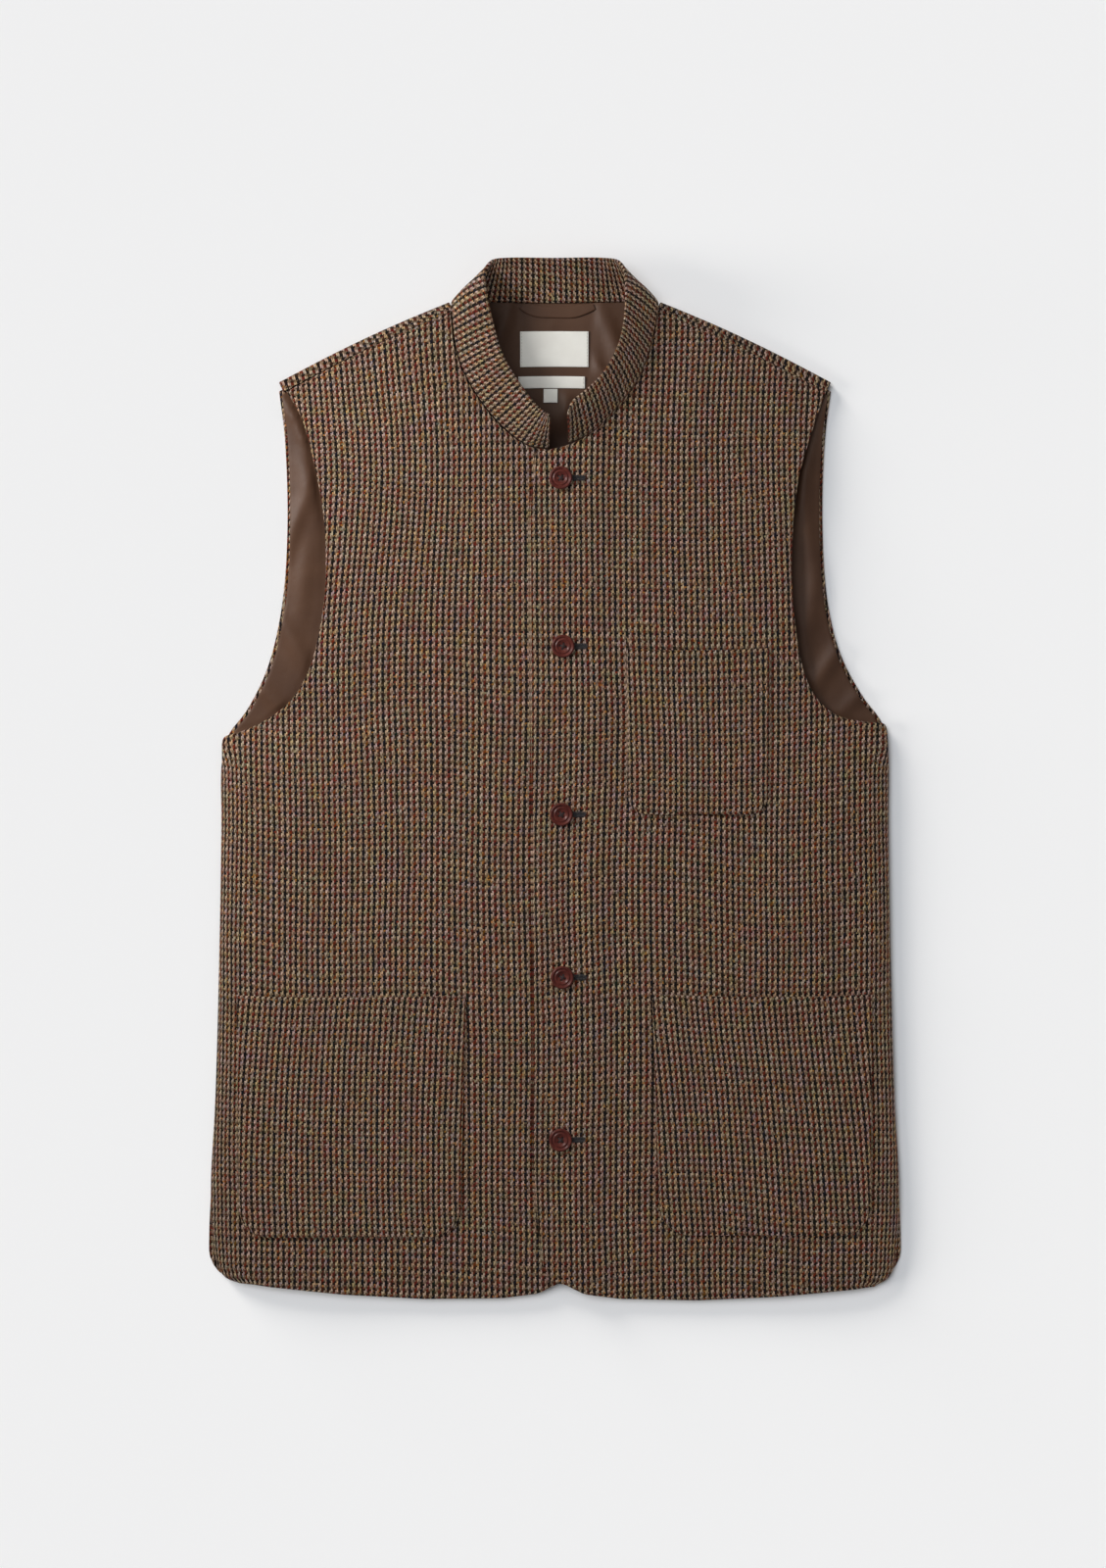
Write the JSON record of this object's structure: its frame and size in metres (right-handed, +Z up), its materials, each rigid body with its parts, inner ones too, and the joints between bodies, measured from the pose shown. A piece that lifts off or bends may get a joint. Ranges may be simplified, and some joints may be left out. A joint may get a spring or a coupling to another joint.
{
  "type": "band-collar tweed waistcoat laid flat",
  "caption": "Sleeveless tweed waistcoat with a band collar, patch pockets and a buttoned front, laid flat with its front up.",
  "frame": {"origin": "on the surface that it lies on, under the middle of its outline", "axes": "+X towards the wearer's left, +Y from the hem to the collar, +Z up from the surface through the front"},
  "size_m": [0.5124, 0.7693, 0.0361],
  "materials": {
    "tweed": "matt wool tweed, brown and grey twill with rust and charcoal ends",
    "satin_lining": "brown satin lining with a soft sheen",
    "button": "dark burgundy polyester, polished",
    "woven_label": "off-white woven label, bare"
  },
  "bodies": {
    "root": {"back": "tweed", "back_lining": "satin_lining", "front_right": "tweed", "front_left": "tweed", "collar": "tweed", "chest_pocket": "tweed", "hip_pocket_right": "tweed", "hip_pocket_left": "tweed", "button_1": "button", "button_2": "button", "button_3": "button", "button_4": "button", "button_5": "button", "hanger_loop": "satin_lining", "main_label": "woven_label", "strip_label": "woven_label", "size_tab": "woven_label"}
  },
  "joints": []
}
